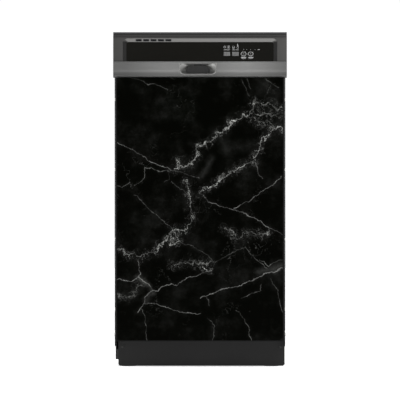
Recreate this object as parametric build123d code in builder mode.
"""A slimline built-in dishwasher, front controls above a hinged door, modelled with the door shut.

The frame: +Z up, the front faces -Y, the origin is on the floor under the middle of the machine.
Lengths are millimetres. Every (low, high) pair below is a span along one axis.
"""

import os
from math import cos, radians, sin

from build123d import *

os.makedirs("parts", exist_ok=True)

# Overall size of the machine
console_width = 448.0
overall_depth = 622.0
overall_height = 864.0
front = -overall_depth / 2
back = overall_depth / 2

# Sheet and moulding thicknesses
sheet = 1.0
moulding = 3.0
running_gap = 0.06
seat_gap = 0.3

# Door
door_half = 219.0
door_foot = 66.4
door_head = 746.8
skin_front = -302.0
skin_return = -284.0
liner_back = -255.0
liner_raise = 19.0
hinge_y, hinge_z = -255.0, 88.0
hinge_pin_radius = 3.5

# Console, from the bottom of the handle band to the top trim
band_foot = 747.0
band_head = 788.3
fascia_foot = 788.7
fascia_front = -301.2
glass_front = -308.0
glass_half = 190.0
glass_head = 838.7
surround_half = 199.0
surround_head = 847.8
pocket_x = -5.5

# Chassis
side_x = 221.0
chassis_front = -246.0
chassis_back = 300.0
tray_half = 219.0
tray_front, tray_back = -205.0, 296.0
tray_bottom, tray_top = 18.0, 108.0

# Tub
tub_half = 205.0
tub_front, tub_back = -250.0, 262.0
tub_head = 826.0
tub_ledge = 122.0
tub_floor = 110.0
tub_corner = 25.0
hub_y = 20.0

# Toe kick, hung in slotted holes and set a little to the right
toe_shift = 4.0
toe_half = 215.5
toe_front = -222.0
toe_head = 70.0
toe_screw = 205.0
toe_screw_z = 50.0

# Racks
wire = 2.0
frame_wire = 2.5
lower_half, lower_front, lower_rear = 172.0, -203.0, 212.0
lower_base, lower_rim = 152.0, 262.0
wheel_radius, wheel_y = 18.0, 165.0
upper_half, upper_front, upper_rear = 166.0, -205.0, 200.0
upper_base, upper_rim = 478.0, 590.0
roller_radius, roller_z = 10.8, 569.0
roller_places = (-215.0, -150.0)

foot_places = [(-185.0, -178.0), (185.0, -178.0), (-185.0, 262.0), (185.0, 262.0)]
foot_stem = 5.0


def keep(piece, name):
    """Label a finished piece and write it under its node's name."""
    piece.label = name
    export_step(piece, f"parts/{name}.step")


def block(x, y, z, mode=Mode.ADD):
    """A box given by its span along each axis."""
    with Locations(((x[0] + x[1]) / 2, (y[0] + y[1]) / 2, (z[0] + z[1]) / 2)):
        Box(x[1] - x[0], y[1] - y[0], z[1] - z[0], mode=mode)


def pair(x, y, z, mode=Mode.ADD):
    """The same box on the right and on the left."""
    block(x, y, z, mode=mode)
    block((-x[1], -x[0]), y, z, mode=mode)


def arch(half_width, bottom, top, radius, mode=Mode.ADD):
    """A face that is square at its foot and round at its two upper corners."""
    with BuildLine() as outline:
        FilletPolyline(
            (-half_width, bottom), (-half_width, top), (half_width, top), (half_width, bottom), radius=radius
        )
        Line((half_width, bottom), (-half_width, bottom))
    make_face(outline.edges(), mode=mode)


def outline_face(*points, mode=Mode.ADD):
    """A flat face with straight sides."""
    with BuildLine() as outline:
        Polyline(*points, close=True)
    make_face(outline.edges(), mode=mode)


def bar_x(x, y, z, radius, mode=Mode.ADD):
    """A round bar along X at height z and depth y."""
    with Locations(Location(((x[0] + x[1]) / 2, y, z), (0, 90, 0))):
        Cylinder(radius, x[1] - x[0], mode=mode)


def bar_y(x, y, z, radius, mode=Mode.ADD):
    """A round bar along Y."""
    with Locations(Location((x, (y[0] + y[1]) / 2, z), (90, 0, 0))):
        Cylinder(radius, y[1] - y[0], mode=mode)


def bar_z(x, y, z, radius, mode=Mode.ADD):
    """A round bar along Z."""
    with Locations((x, y, (z[0] + z[1]) / 2)):
        Cylinder(radius, z[1] - z[0], mode=mode)


def rod(start, end, radius=wire):
    """One straight wire between two points."""
    run = Vector(*end) - Vector(*start)
    return Solid.make_cylinder(radius, run.length, Plane(origin=start, z_dir=run))


# --- Base ------------------------------------------------------------------------------------

tray_inner = tray_half - moulding
anchor_y, anchor_z = -60.0, 35.0
inlet_x, inlet_z = -150.0, 62.0
drain_x, drain_z = 130.0, 50.0
wiring_x, wiring_z = 75.0, 60.0
port_radius, drain_radius, wiring_radius = 13.2, 9.5, 11.1
rear_wall = (tray_back - moulding - 1, tray_back + 1)

with BuildPart() as base_tray:
    block((-tray_half, tray_half), (tray_front, tray_back), (tray_bottom, tray_top))
    block(
        (-tray_inner, tray_inner),
        (tray_front + moulding, tray_back - moulding),
        (tray_bottom + moulding, tray_top),
        mode=Mode.SUBTRACT,
    )
    for x, y in foot_places:
        bar_z(x, y, (tray_bottom, 60), 14)
    for x, y in foot_places:
        bar_z(x, y, (tray_bottom - 1, 61), foot_stem + seat_gap, mode=Mode.SUBTRACT)
    # The corners of the front wall are cut away for the springs.
    pair((203, tray_inner), (tray_front - 1, tray_front + moulding + 1), (44, tray_top), mode=Mode.SUBTRACT)
    for side in (-1, 1):
        # Hinge ears run forward from the side walls, and a post takes each spring.
        with BuildSketch(Plane.YZ.offset(side * tray_half)):
            with Locations((hinge_y, hinge_z)):
                Circle(12)
            with Locations((tray_front + 1, (72 + tray_top) / 2)):
                Rectangle(2, tray_top - 72)
            make_hull()
        extrude(amount=-side * moulding)
        bar_x((min(side * 204, side * tray_inner), max(side * 204, side * tray_inner)), anchor_y, anchor_z, 4)
    for side in (-1, 1):
        bar_y(toe_shift + side * toe_screw, (toe_front + sheet + 0.2, tray_front), toe_screw_z, 7)
        bar_y(toe_shift + side * toe_screw, (toe_front, tray_front - 3), toe_screw_z, 2.3, mode=Mode.SUBTRACT)
    bar_x((-tray_half - 1, tray_half + 1), hinge_y, hinge_z, hinge_pin_radius + running_gap, mode=Mode.SUBTRACT)
    bar_y(inlet_x, rear_wall, inlet_z, port_radius + 1, mode=Mode.SUBTRACT)
    bar_y(drain_x, rear_wall, drain_z, drain_radius + 1, mode=Mode.SUBTRACT)
    bar_y(wiring_x, rear_wall, wiring_z, wiring_radius, mode=Mode.SUBTRACT)
keep(base_tray.part, "base_tray")

with BuildPart() as hinge_pins:
    for side in (-1, 1):
        inner, outer = side * 205, side * tray_half
        bar_x((min(inner, outer), max(inner, outer)), hinge_y, hinge_z, hinge_pin_radius)
        head = side * (tray_half + 1.6)
        bar_x((min(outer, head), max(outer, head)), hinge_y, hinge_z, 6)
keep(hinge_pins.part, "hinge_pins")

# Levelling feet: a round pad, a hexagon for the spanner, and a threaded stem.
foot_names = {"front_left_foot": foot_places[:1], "front_right_foot": foot_places[1:2], "rear_feet": foot_places[2:]}
for name, places in foot_names.items():
    with BuildPart() as foot:
        for x, y in places:
            bar_z(x, y, (0, 8), 19)
            with BuildSketch(Plane.XY.offset(8)):
                with Locations((x, y)):
                    RegularPolygon(9, 6)
            extrude(amount=6)
            bar_z(x, y, (14, 57), foot_stem)
        chamfer(foot.edges().filter_by(GeomType.CIRCLE).filter_by(lambda e: e.radius > 18), 1.2)
    keep(foot.part, name)

# Toe kick: a shallow folded panel with its lower corners clipped.
toe_span = (toe_shift - toe_half, toe_shift + toe_half)
toe_foot = 1.5
with BuildPart() as kickplate:
    with BuildSketch(Plane.XZ.offset(-toe_front)):
        with Locations((toe_shift, (toe_foot + toe_head) / 2)):
            Rectangle(2 * toe_half, toe_head - toe_foot)
        chamfer(vertices().group_by(Axis.Y)[0], 4)
        with Locations(*[(toe_shift + side * toe_screw, toe_screw_z) for side in (-1, 1)]):
            SlotOverall(9, 5.6, mode=Mode.SUBTRACT)
    extrude(amount=-sheet)
    block(toe_span, (toe_front, -207), (toe_head - sheet, toe_head))
    block((toe_span[0] + 5, toe_span[1] - 5), (toe_front, -212), (toe_foot, toe_foot + sheet))
    for edge, inward in ((toe_span[0], sheet), (toe_span[1], -sheet)):
        block((min(edge, edge + inward), max(edge, edge + inward)), (toe_front, -208), (8, toe_head - sheet))
keep(kickplate.part, "kickplate")

# --- Folded steel around the tub ---------------------------------------------------------------

side_bottom, side_top = 52.0, 858.0
side_screws = [(-231.0, 848.0), (290.0, 848.0), (-192.0, 82.0), (280.0, 82.0)]

with BuildPart() as right_side_panel:
    block((side_x - sheet, side_x), (chassis_front, chassis_back), (side_bottom, side_top))
    block((208, side_x), (chassis_front, chassis_front + sheet), (142, 835))
    block((196, side_x), (chassis_back - sheet, chassis_back), (110, side_top))
    for y in (-130.0, 27.0, 184.0):
        # Pressed beads stiffen the sheet.
        with BuildSketch(Plane.YZ.offset(side_x)):
            with Locations((y, 455)):
                SlotOverall(620, 22, rotation=90)
        extrude(amount=1.2)
        with BuildSketch(Plane.YZ.offset(side_x - sheet)):
            with Locations((y, 455)):
                SlotOverall(618, 20, rotation=90)
        extrude(amount=1.2, mode=Mode.SUBTRACT)
    for y, z in side_screws:
        bar_x((side_x - 2, side_x + 1), y, z, 2.3, mode=Mode.SUBTRACT)
keep(right_side_panel.part, "right_side_panel")

with BuildPart() as left_side_panel:
    mirror(right_side_panel.part, about=Plane.YZ)
keep(left_side_panel.part, "left_side_panel")

rear_y = 297.8
rear_screws = [(x, z) for x in (-206.0, 206.0) for z in (150.0, 500.0, 830.0)]
with BuildPart() as rear_panel:
    block((-217, 217), (rear_y, rear_y + sheet), (tray_top + 0.5, 856))
    block((-217, 217), (263.5, rear_y), (855, 856))
    for x in (-110.0, 110.0):
        with BuildSketch(Plane.XZ.offset(-rear_y - sheet)):
            with Locations((x, 500)):
                SlotOverall(560, 34, rotation=90)
        extrude(amount=-1.0)
        with BuildSketch(Plane.XZ.offset(-rear_y)):
            with Locations((x, 500)):
                SlotOverall(558, 32, rotation=90)
        extrude(amount=-1.0, mode=Mode.SUBTRACT)
    with BuildSketch(Plane.XZ.offset(-rear_y)):
        with Locations((0, 200)):
            with GridLocations(0, 14, 1, 6):
                SlotOverall(90, 5)
    extrude(amount=-3, both=True, mode=Mode.SUBTRACT)
keep(rear_panel.part, "rear_panel")

bracket_hole, bracket_half_spacing, bracket_y = 2.75, 150.0, -226.0
with BuildPart() as top_front_rail:
    block((-219.4, 219.4), (-247, -200), (859, 860.2))
    block((-219.4, 219.4), (-247, -246), (838, 860.2))
    block((-219.4, 219.4), (-201, -200), (846, 860.2))
    # Two pads with a screw hole each go under the worktop.
    for x in (-bracket_half_spacing, bracket_half_spacing):
        block((x - 18, x + 18), (-245, -207), (860.2, 861.8))
        bar_z(x, bracket_y, (858, 863), bracket_hole, mode=Mode.SUBTRACT)
    with BuildSketch(Plane.XY.offset(858)):
        with Locations((0, -223)):
            with GridLocations(110, 0, 2, 1):
                SlotOverall(70, 16)
    extrude(amount=4, mode=Mode.SUBTRACT)
    # The latch goes through a slot in the front and catches behind a welded bar.
    block((pocket_x - 11.5, pocket_x + 11.5), (-248, -245), (840.5, 854.2), mode=Mode.SUBTRACT)
    block((pocket_x - 16, pocket_x + 16), (-242.5, -238.5), (854.8, 859))
keep(top_front_rail.part, "top_front_rail")

kick_screws = [(toe_shift + side * toe_screw, toe_screw_z) for side in (-1, 1)]
with BuildPart() as chassis_screws:
    for side in (-1, 1):
        for y, z in side_screws:
            shank, face, head = side * (side_x - sheet), side * side_x, side * (side_x + 1.6)
            bar_x((min(shank, face), max(shank, face)), y, z, 2.2)
            bar_x((min(face, head), max(face, head)), y, z, 4.6)
    for x, z in rear_screws:
        bar_y(x, (chassis_back, chassis_back + 1.6), z, 4.6)
    for x, z in kick_screws:
        bar_y(x, (toe_front - 1.8, toe_front), z, 5)
        bar_y(x, (toe_front, tray_front - 4), z, 2.2)
keep(chassis_screws.part, "chassis_screws")

# --- Tub ---------------------------------------------------------------------------------------

with BuildPart() as tub_wrapper:
    with BuildSketch(Plane.XZ.offset(-tub_back)):
        arch(tub_half, tub_ledge, tub_head, tub_corner)
        arch(tub_half - sheet, tub_ledge - 1, tub_head - sheet, tub_corner - sheet, mode=Mode.SUBTRACT)
    extrude(amount=tub_back - tub_front)
    with BuildSketch(Plane.XZ.offset(-tub_front)):
        arch(tub_half + 9, 140, tub_head + 9, tub_corner + 8)
        arch(tub_half - sheet, 130, tub_head - sheet, tub_corner - sheet, mode=Mode.SUBTRACT)
    extrude(amount=-sheet)
    # Welded studs carry the upper rack's rollers.
    for y in roller_places:
        for low, high in ((-tub_half + 0.5, -182.5), (182.5, tub_half - 0.5)):
            bar_x((low, high), y, roller_z, 3)
keep(tub_wrapper.part, "tub_wrapper")

float_x, float_y = -140.0, -170.0
with BuildPart() as tub_pan:
    with BuildSketch(Plane.XZ.offset(-tub_back - sheet)):
        outline_face(
            (-tub_half, tub_ledge),
            (-176, tub_ledge),
            (-160, tub_floor),
            (160, tub_floor),
            (176, tub_ledge),
            (tub_half, tub_ledge),
            (tub_half, tub_ledge - sheet),
            (176.4, tub_ledge - sheet),
            (160.4, tub_floor - sheet),
            (-160.4, tub_floor - sheet),
            (-176.4, tub_ledge - sheet),
            (-tub_half, tub_ledge - sheet),
        )
    extrude(amount=tub_back + sheet - tub_front)
    with BuildSketch(Plane.XZ.offset(-tub_back - sheet)):
        arch(tub_half, tub_ledge - sheet, tub_head, tub_corner)
        with Locations((0, (tub_floor + tub_ledge) / 2 - sheet)):
            Rectangle(352, tub_ledge - tub_floor)
    extrude(amount=sheet)
    block((-174, 174), (tub_front, tub_front + sheet), (101, 124))
    block((-tub_half, tub_half), (tub_front, tub_front + sheet), (101, tub_ledge))
    bar_z(0, hub_y, (tub_floor - 3, tub_floor + 3), 84, mode=Mode.SUBTRACT)
    bar_z(float_x, float_y, (tub_floor - 3, tub_floor + 3), 5, mode=Mode.SUBTRACT)
keep(tub_pan.part, "tub_pan")

with BuildPart() as tub_gasket:
    with BuildSketch(Plane.XZ.offset(-tub_front + 0.05)):
        arch(tub_half + 8, 140, tub_head + 8, tub_corner + 7)
        arch(tub_half + 0.6, 130, tub_head + 0.6, tub_corner, mode=Mode.SUBTRACT)
    extrude(amount=4.6)
keep(tub_gasket.part, "tub_gasket")

with BuildPart() as insulation_blanket:
    with BuildSketch(Plane.XZ.offset(-255)):
        arch(213, 150, 834, 33)
        arch(tub_half + 0.2, 140, tub_head + 0.2, tub_corner, mode=Mode.SUBTRACT)
    extrude(amount=495)
keep(insulation_blanket.part, "insulation_blanket")

# --- Sump, filters and water --------------------------------------------------------------------

bowl_radius = 84.0
pump_y, pump_z = 40.0, 62.0
with BuildPart() as sump:
    bar_z(0, hub_y, (46, 106), bowl_radius)
    bar_z(0, hub_y, (105, tub_floor - sheet - 0.05), 92)
    bar_z(0, hub_y, (46 + moulding, 112), bowl_radius - moulding, mode=Mode.SUBTRACT)
    bar_z(0, hub_y, (46, 126), 12)
    bar_z(0, hub_y, (120, 136), 8)
    bar_x((-93, -78), pump_y, pump_z, 14)
    bar_x((78, 89), 0, drain_z + 12, 11)
    bar_x((-94, -70), pump_y, pump_z, 11, mode=Mode.SUBTRACT)
    bar_x((70, 90), 0, drain_z + 12, 8, mode=Mode.SUBTRACT)
keep(sump.part, "sump")

filter_x, filter_y = 36.0, -16.0
filter_radius = 24.0
with BuildPart() as coarse_filter:
    bar_z(0, hub_y, (tub_floor - 1, tub_floor + 1), 80.5)
    bar_z(0, hub_y, (tub_floor - 2, tub_floor + 2), 12.4, mode=Mode.SUBTRACT)
    bar_z(filter_x, filter_y, (tub_floor - 2, tub_floor + 2), filter_radius + 0.4, mode=Mode.SUBTRACT)
    with BuildSketch(Plane.XY.offset(tub_floor + 2)):
        with Locations((0, hub_y)):
            with PolarLocations(70, 40):
                Circle(2)
            with PolarLocations(60, 12, start_angle=20, angular_range=250):
                Circle(2)
    extrude(amount=-4, mode=Mode.SUBTRACT)
keep(coarse_filter.part, "coarse_filter")

with BuildPart() as fine_filter:
    bar_z(filter_x, filter_y, (58, tub_floor + 1), filter_radius)
    bar_z(filter_x, filter_y, (60, tub_floor + 2), filter_radius - 2, mode=Mode.SUBTRACT)
    block(
        (filter_x - filter_radius + 1, filter_x + filter_radius - 1),
        (filter_y - 3.5, filter_y + 3.5),
        (tub_floor - 6, tub_floor + 14),
    )
    for angle in range(0, 360, 30):
        x, y = filter_x + filter_radius * cos(radians(angle)), filter_y + filter_radius * sin(radians(angle))
        bar_z(x, y, (66, 98), 3.2, mode=Mode.SUBTRACT)
keep(fine_filter.part, "fine_filter")


def spray_arm(reach, low, high, centre_y, hub_low, hub_high):
    """A flat arm with a bored hub and a row of raised nozzles on top."""
    with BuildPart() as arm:
        bar_z(0, centre_y, (hub_low, hub_high), 16)
        with BuildSketch(Plane.XY.offset(low)):
            with Locations((0, centre_y)):
                SlotCenterToCenter(2 * (reach - 13), 26)
                Ellipse(reach * 0.62, 21)
        extrude(amount=high - low)
        for place in (-0.9, -0.7, -0.5, -0.3, 0.3, 0.5, 0.7, 0.9):
            bar_z(place * reach, centre_y + (4 if place > 0 else -4), (high, high + 2), 4)
        bar_z(0, centre_y, (hub_low - 1, hub_high - 3), 8 + running_gap, mode=Mode.SUBTRACT)
    return arm.part


keep(spray_arm(182, 129, 139, hub_y, 126.3, 143), "lower_spray_arm")

arm_y = 6.0
with BuildPart() as upper_spray_arm:
    # The hub hangs on the manifold's post, so its bore opens upwards.
    with Locations((0, arm_y, 446)):
        Cylinder(16, 12)
    with BuildSketch(Plane.XY.offset(442)):
        with Locations((0, arm_y)):
            SlotCenterToCenter(2 * (160 - 11), 22)
            Ellipse(100, 18)
    extrude(amount=8)
    for place in (-0.9, -0.65, -0.4, 0.4, 0.65, 0.9):
        bar_z(place * 160, arm_y, (450, 452), 4)
    bar_z(0, arm_y, (443, 454), 8 + running_gap, mode=Mode.SUBTRACT)
keep(upper_spray_arm.part, "upper_spray_arm")

manifold_z, dock_y = 464.5, 214.0
with BuildPart() as upper_manifold:
    bar_y(0, (arm_y - 14, dock_y), manifold_z, 10)
    bar_y(0, (dock_y, 224.5), manifold_z, 12.4)
    bar_z(0, arm_y, (452.4, manifold_z), 9.4)
    bar_z(0, arm_y, (444, 453), 8)
    bar_y(0, (200, 226), manifold_z, 7.6, mode=Mode.SUBTRACT)
keep(upper_manifold.part, "upper_manifold")

with BuildPart() as feed_pipe:
    block((-13, 13), (240, 260), (118, 480))
    block((-13, 13), (104, 246), (111, 122))
    fillet(feed_pipe.edges().filter_by(Axis.Z), 5)
    bar_y(0, (226, 242), manifold_z, 11)
    bar_y(0, (225, 250), manifold_z, 7.6, mode=Mode.SUBTRACT)
keep(feed_pipe.part, "feed_pipe")

heater_radius = 140.0
with BuildPart() as heating_element:
    with BuildSketch(Plane((heater_radius * sin(radians(20)), hub_y + heater_radius * cos(radians(20)), 117),
                           z_dir=(cos(radians(20)), -sin(radians(20)), 0))):
        Circle(4)
    revolve(axis=Axis((0, hub_y, 117), (0, 0, -1)), revolution_arc=320)
    for side in (-1, 1):
        x, y = side * heater_radius * sin(radians(20)), hub_y + heater_radius * cos(radians(20))
        bar_z(x, y, (tub_floor, 121), 7)
keep(heating_element.part, "heating_element")

with BuildPart() as float_dome:
    with Locations((float_x, float_y, 111)):
        Cylinder(15, 13, align=(Align.CENTER, Align.CENTER, Align.MIN))
    fillet(float_dome.edges().filter_by(GeomType.CIRCLE).sort_by(Axis.Z)[-1], 6)
    bar_z(float_x, float_y, (88, 112), 4.94)
keep(float_dome.part, "float_dome")

with BuildPart() as wash_pump:
    bar_x((-124, -94), pump_y, pump_z, 34)
    bar_z(-109, pump_y, (pump_z, 108), 9)
    bar_x((-200, -124), pump_y, pump_z, 31)
    bar_x((-120, -98), pump_y, pump_z, 30, mode=Mode.SUBTRACT)
    bar_x((-98.5, -93.5), pump_y, pump_z, 11, mode=Mode.SUBTRACT)
    bar_x((-166, -119), pump_y, pump_z, 3 + running_gap, mode=Mode.SUBTRACT)
keep(wash_pump.part, "wash_pump")

with BuildPart() as wash_impeller:
    bar_x((-116, -112), pump_y, pump_z, 26)
    bar_x((-164, -104), pump_y, pump_z, 3)
    bar_x((-113, -104), pump_y, pump_z, 7)
    with BuildSketch(Plane.YZ.offset(-112)):
        with Locations((pump_y, pump_z)):
            with PolarLocations(15, 6):
                Rectangle(20, 2.4, rotation=25)
    extrude(amount=9)
keep(wash_impeller.part, "wash_impeller")

with BuildPart() as drain_pump:
    bar_x((89.2, 152), 0, drain_z + 12, 22)
    bar_y(drain_x, (0, back - 18), drain_z, 8.4)
    bar_y(drain_x, (back - 19, back), drain_z, drain_radius)
    bar_y(drain_x, (back - 300, back + 1), drain_z, 6.5, mode=Mode.SUBTRACT)
keep(drain_pump.part, "drain_pump")

with BuildPart() as inlet_valve:
    block((inlet_x - 18, inlet_x + 18), (252, 292), (inlet_z - 20, inlet_z + 18))
    fillet(inlet_valve.edges().filter_by(Axis.Z), 3)
    bar_y(inlet_x, (292, back), inlet_z, port_radius)
    bar_y(inlet_x, (back - 16, back + 1), inlet_z, 9, mode=Mode.SUBTRACT)
    for x in (inlet_x - 9, inlet_x + 9):
        bar_z(x, 266, (inlet_z + 18, inlet_z + 42), 8)
keep(inlet_valve.part, "inlet_valve")

box_x, box_z = (45.0, 105.0), (32.0, 88.0)
with BuildPart() as junction_box:
    block(box_x, (tray_back + 0.2, back), box_z)
    block(
        (box_x[0] + 1.5, box_x[1] - 1.5), (tray_back + 1.7, back - 1.5), (box_z[0] + 1.5, box_z[1] - 1.5),
        mode=Mode.SUBTRACT,
    )
    bar_y(wiring_x, (back - 2, back + 1), wiring_z, wiring_radius, mode=Mode.SUBTRACT)
keep(junction_box.part, "junction_box")

# --- Door --------------------------------------------------------------------------------------

door_screw_z = (150.0, 330.0, 510.0, 690.0)
door_screw_y = -292.0
with BuildPart() as door_outer_panel:
    with BuildSketch(Plane.XY.offset(door_foot)):
        with Locations((0, (skin_front + skin_return) / 2)):
            Rectangle(2 * door_half, skin_return - skin_front)
        fillet(vertices().group_by(Axis.Y)[0], 3)
    extrude(amount=door_head - door_foot)
    with BuildSketch(Plane.XY.offset(door_foot + sheet)):
        with Locations((0, (skin_front + skin_return) / 2 + sheet)):
            Rectangle(2 * door_half - 2 * sheet, skin_return - skin_front)
        fillet(vertices().group_by(Axis.Y)[0], 2)
    extrude(amount=door_head, mode=Mode.SUBTRACT)
    for z in door_screw_z:
        bar_x((-door_half - 1, door_half + 1), door_screw_y, z, 2.1, mode=Mode.SUBTRACT)
keep(door_outer_panel.part, "door_outer_panel")

with BuildPart() as door_screws:
    for side in (-1, 1):
        for z in door_screw_z:
            shank, face, head = side * (door_half - sheet), side * door_half, side * (door_half + 1.5)
            bar_x((min(shank, face), max(shank, face)), door_screw_y, z, 2)
            bar_x((min(face, head), max(face, head)), door_screw_y, z, 4.2)
keep(door_screws.part, "door_screws")

decor_thickness = 1.2
with BuildPart() as decor_panel:
    with BuildSketch(Plane.XZ.offset(-skin_front + 0.02)):
        with Locations((0, (69 + door_head) / 2)):
            RectangleRounded(428, door_head - 69, 2)
    extrude(amount=decor_thickness)
keep(decor_panel.part, "decor_panel")

liner_front = liner_back - sheet
raise_z = (128.0, 812.0)
rail_x, rail_z, rail_raise = (176.0, 190.0), (130.0, 540.0), 33.5


def raised_pan(inset):
    """The stepped middle of the door liner, smaller all round by inset."""
    with BuildPart() as pan:
        with BuildSketch(Plane.XZ.offset(-liner_front)):
            with Locations((0, sum(raise_z) / 2)):
                RectangleRounded(2 * (198 - inset), raise_z[1] - raise_z[0] - 2 * inset, 22 - inset)
        extrude(amount=-(liner_raise + sheet - inset))
        fillet(pan.faces().sort_by(Axis.Y)[-1].edges(), 7 - inset)
    return pan.part


def wheel_rail(side, inset):
    """A pressed rail on the liner that the lower rack's wheels roll onto."""
    with BuildPart() as rail:
        with BuildSketch(Plane.XZ.offset(-liner_back - liner_raise + sheet + 0.5)):
            with Locations((side * sum(rail_x) / 2, sum(rail_z) / 2)):
                RectangleRounded(
                    rail_x[1] - rail_x[0] - 2 * inset, rail_z[1] - rail_z[0] - 2 * inset, 6 - inset
                )
        extrude(amount=-(rail_raise - liner_raise + sheet + 0.5 - inset))
    return rail.part


dispenser_x, dispenser_z = (-72.0, 72.0), (468.0, 592.0)
with BuildPart() as door_liner:
    add(raised_pan(0))
    block((-214, 214), (liner_front, liner_back), (103, 858))
    for side in (-1, 1):
        add(wheel_rail(side, 0))
    add(raised_pan(sheet), mode=Mode.SUBTRACT)
    for side in (-1, 1):
        add(wheel_rail(side, sheet), mode=Mode.SUBTRACT)
    pair((213, 214), (-286, liner_back), (103, 746))
    block((-204, 204), (-286, liner_back), (103, 104))
    block(dispenser_x, (-240, -233), dispenser_z, mode=Mode.SUBTRACT)
    block((pocket_x - 11.5, pocket_x + 11.5), (-258, -253), (840, 855), mode=Mode.SUBTRACT)
keep(door_liner.part, "door_liner")

tail_y, tail_z = -215.2, 84.5
arm_x = (207.0, 211.0)
with BuildPart() as hinge_arms:
    for side in (-1, 1):
        with BuildSketch(Plane.YZ.offset(side * arm_x[0])):
            outline_face(
                (-283, 290), (-262, 290), (-262, 104), (-245, 96), (tail_y + 5, tail_z + 6),
                (tail_y + 6, tail_z - 6), (-255, 77), (-283, 104),
            )
            with Locations((hinge_y, hinge_z)):
                Circle(11)
            with Locations((hinge_y, hinge_z)):
                Circle(hinge_pin_radius + running_gap, mode=Mode.SUBTRACT)
            with Locations((tail_y, tail_z)):
                Circle(2.2, mode=Mode.SUBTRACT)
            with Locations((-272.5, 160), (-272.5, 250)):
                Circle(2.5, mode=Mode.SUBTRACT)
        extrude(amount=side * (arm_x[1] - arm_x[0]))
keep(hinge_arms.part, "hinge_arms")

# Balance springs, hooked from each hinge arm's tail to a post in the tray.
spring_run = Vector(0, anchor_y - tail_y, anchor_z - tail_z)
spring_way = spring_run.normalized()
spring_pieces = []
for side in (-1, 1):
    hook = Vector(side * 209, tail_y, tail_z) + spring_way * 9
    body = Vector(side * 209, tail_y, tail_z) + spring_way * 24
    body_end = Vector(side * 209, anchor_y, anchor_z) - spring_way * 16
    tail_end = Vector(side * 209, anchor_y, anchor_z) - spring_way * 4.5
    spring = rod(hook, body, 1.4) + rod(body, body_end, 5) + rod(body_end, tail_end, 1.4)
    spring_pieces.append(spring)
keep(Compound(children=spring_pieces), "door_springs")

# --- Detergent dispenser -----------------------------------------------------------------------

face_y = liner_back + liner_raise
cup_x, cup_z, cup_floor = (-60.0, -6.0), (486.0, 546.0), -266.0
cap_x, cap_z = 36.0, 516.0
with BuildPart() as dispenser_body:
    block((dispenser_x[0] + 0.3, dispenser_x[1] - 0.3), (-272, face_y), (dispenser_z[0] + 0.3, dispenser_z[1] - 0.3))
    block((dispenser_x[0] - 6, dispenser_x[1] + 6), (face_y + 0.05, face_y + 2), (dispenser_z[0] - 6, dispenser_z[1] + 6))
    block((dispenser_x[0] + 1, dispenser_x[1] - 1), (face_y - 1, face_y + 1), (dispenser_z[0] + 1, dispenser_z[1] - 1))
    block(cup_x, (cup_floor, face_y + 3), cup_z, mode=Mode.SUBTRACT)
    # Two guide lips hold the sliding lid.
    block((-72, 2), (face_y + 2, face_y + 5.6), (cup_z[0] - 7.5, cup_z[0] - 4.5))
    block((-72, 2), (face_y + 2, face_y + 5.6), (cup_z[1] + 4.5, cup_z[1] + 7.5))
    bar_y(cap_x, (-254, face_y + 3), cap_z, 14 + running_gap, mode=Mode.SUBTRACT)
keep(dispenser_body.part, "dispenser_body")

with BuildPart() as dispenser_lid:
    block((cup_x[0] - 4, cup_x[1] + 4), (face_y + 2.3, face_y + 5), (cup_z[0] - 4, cup_z[1] + 4))
    block((cup_x[1] - 6, cup_x[1] - 1), (face_y + 5, face_y + 9), (cup_z[0] + 12, cup_z[1] - 12))
keep(dispenser_lid.part, "dispenser_lid")

with BuildPart() as rinse_aid_cap:
    bar_y(cap_x, (face_y + 2.3, face_y + 6), cap_z, 19)
    bar_y(cap_x, (-250, face_y + 3), cap_z, 14)
    block((cap_x - 3, cap_x + 3), (face_y + 6, face_y + 11), (cap_z - 15, cap_z + 15))
keep(rinse_aid_cap.part, "rinse_aid_cap")

# --- Console -----------------------------------------------------------------------------------

console_half = console_width / 2
trim_front = -295.0
key_z = 807.8
keys = {
    "cycle_key": (69.4, 17.0, 10.6, 1.0),
    "options_key": (91.4, 17.0, 10.6, 1.0),
    "start_key": (112.4, 13.0, 9.4, 3.0),
    "cancel_key": (130.6, 13.0, 9.4, 3.0),
}

with BuildPart() as console_carrier:
    with BuildSketch(Plane.YZ.offset(-console_half)):
        outline_face((-300, band_foot), (-300, 852), (trim_front, 861.5), (trim_front, overall_height),
                     (-258, overall_height), (-258, band_foot))
    extrude(amount=console_width)
    with BuildSketch(Plane.YZ.offset(-console_half + moulding)):
        outline_face((-297, band_foot + moulding), (-297, 851), (-292, 861), (-257, 861), (-257, band_foot + moulding))
    extrude(amount=console_width - 2 * moulding, mode=Mode.SUBTRACT)
    # Windows for the display and the handle pocket
    block((-184, 184), (-302, -296), (794, 835), mode=Mode.SUBTRACT)
    block((pocket_x - 54, pocket_x + 54), (-302, -296), (752, 788), mode=Mode.SUBTRACT)
    # Ears for the latch lever's pivot
    latch_y, latch_z = -283.0, 846.0
    for low in (pocket_x - 18.5, pocket_x + 15.5):
        block((low, low + 3), (latch_y - 6, latch_y + 6), (latch_z - 7, 862))
    bar_x((pocket_x - 20, pocket_x + 20), latch_y, latch_z, 3 + running_gap, mode=Mode.SUBTRACT)
keep(console_carrier.part, "console_carrier")

lens_places = [-158.0 + 19.1 * n for n in range(5)]
lens_half, lens_z = 7.6, (840.2, 845.8)


def slope_y(z):
    """Depth of the display surround's sloping top at height z."""
    return fascia_front - (fascia_front - glass_front) * (surround_head - z) / (surround_head - glass_head)


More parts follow.
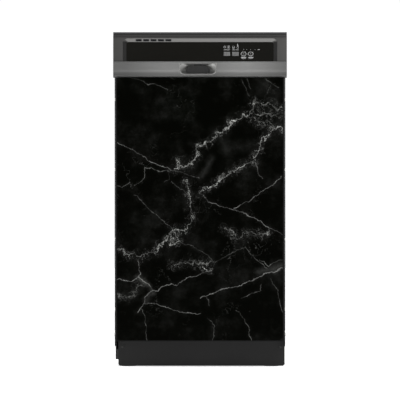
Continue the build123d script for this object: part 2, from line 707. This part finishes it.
with BuildPart() as console_fascia:
    with BuildSketch(Plane.YZ.offset(-console_half + 0.8)):
        outline_face(
            (fascia_front, fascia_foot), (fascia_front, 851), (-300.6, 854.4), (-299.2, 857.6), (-297, 860.6),
            (-296.4, 860), (-298.6, 857), (-299.9, 854), (-300.2, 851), (-300.2, fascia_foot),
        )
    extrude(amount=console_width - 1.6)
    # The raised surround of the display, cut off square along its foot
    with BuildSketch(Plane.XZ.offset(-fascia_front)):
        with Locations((0, (surround_head + 740) / 2)):
            RectangleRounded(2 * surround_half, surround_head - 740, 12)
    with BuildSketch(Plane.XZ.offset(-glass_front)):
        with Locations((0, (glass_head + 740) / 2)):
            RectangleRounded(2 * glass_half, glass_head - 740, 5)
    loft()
    block((-230, 230), (-315, -290), (700, fascia_foot), mode=Mode.SUBTRACT)
    with BuildSketch(Plane.XZ.offset(-glass_front + 2)):
        with Locations((0, (glass_head - 0.6 + 740) / 2)):
            RectangleRounded(2 * glass_half - 1.2, glass_head - 0.6 - 740, 4.4)
    extrude(amount=-12, mode=Mode.SUBTRACT)
    for x in lens_places:
        block((x - lens_half - 0.1, x + lens_half + 0.1), (-312, -299), (lens_z[0] - 0.1, lens_z[1] + 0.1),
              mode=Mode.SUBTRACT)
keep(console_fascia.part, "console_fascia")

with BuildPart() as indicator_lenses:
    for x in lens_places:
        with BuildSketch(Plane.YZ.offset(x - lens_half)):
            outline_face((-300.3, lens_z[0]), (slope_y(lens_z[0]), lens_z[0]), (slope_y(lens_z[1]), lens_z[1]),
                         (-300.3, lens_z[1]))
        extrude(amount=2 * lens_half)
keep(indicator_lenses.part, "indicator_lenses")

glass_back = -305.5
with BuildPart() as display_glass:
    with BuildSketch(Plane.XZ.offset(-glass_back)):
        with Locations((0, (glass_head - 0.9 + fascia_foot + 0.2) / 2)):
            Rectangle(2 * glass_half - 1.8, glass_head - 0.9 - fascia_foot - 0.2)
        fillet(vertices().group_by(Axis.Y)[-1], 4)
        for x, width, height, corner in keys.values():
            with Locations((x, key_z)):
                RectangleRounded(width + 0.6, height + 0.6, corner, mode=Mode.SUBTRACT)
    extrude(amount=glass_back - glass_front)
keep(display_glass.part, "display_glass")

for name, (x, width, height, corner) in keys.items():
    with BuildPart() as key:
        with BuildSketch(Plane.XZ.offset(302)):
            with Locations((x, key_z)):
                RectangleRounded(width, height, corner)
        extrude(amount=6.5)
        block((x - width / 2 - 1.5, x + width / 2 + 1.5), (-304.6, -302), (key_z - height / 2 - 2, key_z + height / 2 + 2))
    keep(key.part, name)

with BuildPart() as control_board:
    block((48, 176), (-296, -294.4), (797, 832))
    for x, width, height, corner in keys.values():
        block((x - 3, x + 3), (-300.7, -296), (key_z - 3, key_z + 3))
    block((100, 128), (-294.4, -276), (800, 828))
    block((140, 160), (-294.4, -280), (802, 818))
keep(control_board.part, "control_board")


def pocket_mouth(grow):
    """The handle pocket's opening in the band."""
    left, right = pocket_x - 47.5 - grow, pocket_x + 47.5 + grow
    with BuildLine() as outline:
        FilletPolyline((left, 783 + grow), (left + 3, 756 - grow), (right - 3, 756 - grow), (right, 783 + grow),
                       radius=12 + grow)
        Line((right, 783 + grow), (left, 783 + grow))
    make_face(outline.edges())


def pocket_root(grow):
    """The pocket's deep end, narrower at the top."""
    with BuildLine() as outline:
        FilletPolyline((pocket_x - 21.5 - grow, 779 + grow), (pocket_x - 43.5 - grow, 757.5 - grow),
                       (pocket_x + 43.5 + grow, 757.5 - grow), (pocket_x + 21.5 + grow, 779 + grow),
                       radius=9 + grow)
        Line((pocket_x + 21.5 + grow, 779 + grow), (pocket_x - 21.5 - grow, 779 + grow))
    make_face(outline.edges())


pocket_wall = 1.6
with BuildPart() as handle_pocket:
    for grow, mode in ((pocket_wall, Mode.ADD), (0, Mode.SUBTRACT)):
        with BuildSketch(Plane.XZ.offset(-front)):
            pocket_mouth(grow)
        with BuildSketch(Plane.XZ.offset(290)):
            pocket_root(grow)
        loft(ruled=True, mode=mode)
    # The lever's strap swings through a notch in the roof.
    block((pocket_x - 11, pocket_x + 11), (-300, -289), (776, 788), mode=Mode.SUBTRACT)
keep(handle_pocket.part, "handle_pocket")

with BuildPart() as handle_band:
    with BuildSketch(Plane.YZ.offset(-console_half + 0.8)):
        with BuildLine():
            Polyline((-301.5, 748), (-300.3, 748), (-300.3, band_head), (-307.6, band_head), (-309.4, band_head - 2.2))
            Spline((-309.4, band_head - 2.2), (-310.9, 770), (-309.2, 756), (-301.5, 748),
                   tangents=((-0.08, -1), (0.9, -0.42)))
        make_face()
    extrude(amount=console_width - 1.6)
    block((-221, 221), (-306, -300), (757, 785), mode=Mode.SUBTRACT)
    with BuildSketch(Plane.XZ.offset(-front + 2)):
        pocket_mouth(pocket_wall + 0.15)
    extrude(amount=-16, mode=Mode.SUBTRACT)
keep(handle_band.part, "handle_band")

strap = (pocket_x - 10, pocket_x + 10)
with BuildPart() as latch_paddle:
    with BuildSketch(Plane.XZ.offset(286.5)):
        pocket_root(-0.9)
    extrude(amount=3)
    block(strap, (-286.5, -283.5), (762, latch_z))
    bar_x((pocket_x - 15, pocket_x + 15), latch_y, latch_z, 5)
    bar_x((pocket_x - 18.4, pocket_x + 18.4), latch_y, latch_z, 3)
    block((pocket_x - 5, pocket_x + 5), (latch_y, -232), (latch_z, latch_z + 4))
    block((pocket_x - 5, pocket_x + 5), (-237, -232), (latch_z + 4, latch_z + 7.4))
keep(latch_paddle.part, "latch_paddle")

# --- Racks -------------------------------------------------------------------------------------


def basket_wires(half, low_y, high_y, base, rim, along_y, along_x, skip_left=()):
    """The wires of one rack: frames at the base and rim, then wires laid on each other as they are welded."""
    wires = []
    for z in (base, rim):
        for y in (low_y, high_y):
            wires.append(rod((-half, y, z), (half, y, z), frame_wire))
        for x in (-half, half):
            wires.append(rod((x, low_y + frame_wire, z), (x, high_y - frame_wire, z), frame_wire))
    first = base + frame_wire + wire
    inset = frame_wire + wire
    for x in along_y:
        wires.append(rod((x, low_y + frame_wire, first), (x, high_y - frame_wire, first)))
        for y in (low_y + inset, high_y - inset):
            wires.append(rod((x, y, first + wire), (x, y, rim + frame_wire)))
    second = first + 2 * wire
    for y in along_x:
        wires.append(rod((-half + frame_wire, y, second), (half - frame_wire, y, second)))
        for x in (-half + inset, half - inset):
            wires.append(rod((x, y, second + wire), (x, y, rim + frame_wire)))
    return wires


def evenly(low, high, count):
    """count places from low to high."""
    return [low + (high - low) * n / (count - 1) for n in range(count)]


lower_across = evenly(-175.0, 185.0, 7)
tine_foot = lower_base + frame_wire + 4 * wire
lower_wires = basket_wires(
    lower_half, lower_front, lower_rear, lower_base, lower_rim, evenly(-150.0, 150.0, 7), lower_across
)
for y in (lower_across[2], lower_across[4], lower_across[6]):
    for x in evenly(-140.0, 35.0, 6):
        lower_wires.append(rod((x, y, tine_foot), (x, y, 228)))
wheel_z = tub_ledge + wheel_radius
for side in (-1, 1):
    for y in (-wheel_y, wheel_y):
        with BuildPart() as axle:
            low, high = side * (lower_half + frame_wire), side * (lower_half + frame_wire + 3)
            block((min(low, high), max(low, high)), (y - 9, y + 9), (wheel_z - 8, lower_base + 4))
            end = side * 188.5
            bar_x((min(high, end), max(high, end)), y, wheel_z, 3)
        lower_wires.append(axle.part.solid())
keep(Compound(children=lower_wires), "lower_rack")

for name, y in (("lower_rack_front_wheels", -wheel_y), ("lower_rack_rear_wheels", wheel_y)):
    with BuildPart() as wheels:
        for low, high in ((-187, -179), (179, 187)):
            bar_x((low, high), y, wheel_z, wheel_radius)
            bar_x((low, high), y, wheel_z, 3 + running_gap, mode=Mode.SUBTRACT)
    keep(wheels.part, name)

basket_x, basket_y, basket_z = (66.0, 160.0), (-186.0, -86.0), (163.0, 282.0)
with BuildPart() as cutlery_basket:
    block(basket_x, basket_y, basket_z)
    fillet(cutlery_basket.edges().filter_by(Axis.Z), 8)
    cell_x, cell_y = (basket_x[1] - basket_x[0] - 8) / 3, (basket_y[1] - basket_y[0] - 6) / 2
    for column in range(3):
        for row in range(2):
            x = basket_x[0] + 2 + column * (cell_x + 2)
            y = basket_y[0] + 2 + row * (cell_y + 2)
            block((x, x + cell_x), (y, y + cell_y), (basket_z[0] + 2, basket_z[1] + 1), mode=Mode.SUBTRACT)
    # The carrying handle stands on the middle wall.
    middle = sum(basket_y) / 2
    for x in (basket_x[0], basket_x[1] - 6):
        block((x, x + 6), (middle - 1.5, middle + 1.5), (basket_z[1] - 4, 318))
    block((basket_x[0], basket_x[1]), (middle - 3, middle + 3), (312, 320))
keep(cutlery_basket.part, "cutlery_basket")

upper_across = evenly(-175.0, 170.0, 7)
shelf_x, shelf_z = -upper_half + 5.2, 561.0
upper_tine_foot = upper_base + frame_wire + 4 * wire
upper_wires = basket_wires(
    upper_half, upper_front, upper_rear, upper_base, upper_rim, evenly(-144.0, 144.0, 7), upper_across
)
for y in upper_across[1:-1]:
    for x in (0.0, 96.0):
        upper_wires.append(rod((x, y, upper_tine_foot), (x, y, 534)))
shelf_rod = (upper_front + frame_wire + 2 * wire + 0.5, upper_rear - frame_wire - 2 * wire - 0.5)
upper_wires.append(rod((shelf_x + 3, shelf_rod[0], shelf_z), (shelf_x + 3, shelf_rod[1], shelf_z)))
keep(Compound(children=upper_wires), "upper_rack")

with BuildPart() as cup_shelf:
    block((shelf_x + 6, -86), (-160, 150), (shelf_z - 1.5, shelf_z + 1.5))
    for y in evenly(-142.0, 132.0, 9):
        block((shelf_x + 16, -92), (y - 9, y + 9), (shelf_z - 2, shelf_z + 2), mode=Mode.SUBTRACT)
    for y in (-86.0, 85.0):
        block((shelf_x + 3, shelf_x + 8), (y - 8, y + 8), (shelf_z - 1.5, shelf_z + 1.5))
        bar_y(shelf_x + 3, (y - 8, y + 8), shelf_z, 4)
    bar_y(shelf_x + 3, (-200, 200), shelf_z, wire + running_gap, mode=Mode.SUBTRACT)
keep(cup_shelf.part, "cup_shelf")

with BuildPart() as rack_rails:
    for side in (-1, 1):
        for low, high, z_low, z_high in (
            (180, 181.5, 556.5, 581.5),
            (180, 195, 556.5, 558),
            (180, 195, 580, 581.5),
        ):
            block((min(side * low, side * high), max(side * low, side * high)), (-226, 200), (z_low, z_high))
        for y in (-120.0, 120.0):
            low, high = side * (upper_half + frame_wire), side * 180
            block((min(low, high), max(low, high)), (y - 10, y + 10), (566, 592))
keep(rack_rails.part, "rack_rails")

for name, y in (("front_rail_rollers", roller_places[0]), ("rear_rail_rollers", roller_places[1])):
    with BuildPart() as rollers:
        for low, high in ((-194, -183.5), (183.5, 194)):
            bar_x((low, high), y, roller_z, roller_radius)
            bar_x((low, high), y, roller_z, 3 + running_gap, mode=Mode.SUBTRACT)
    keep(rollers.part, name)
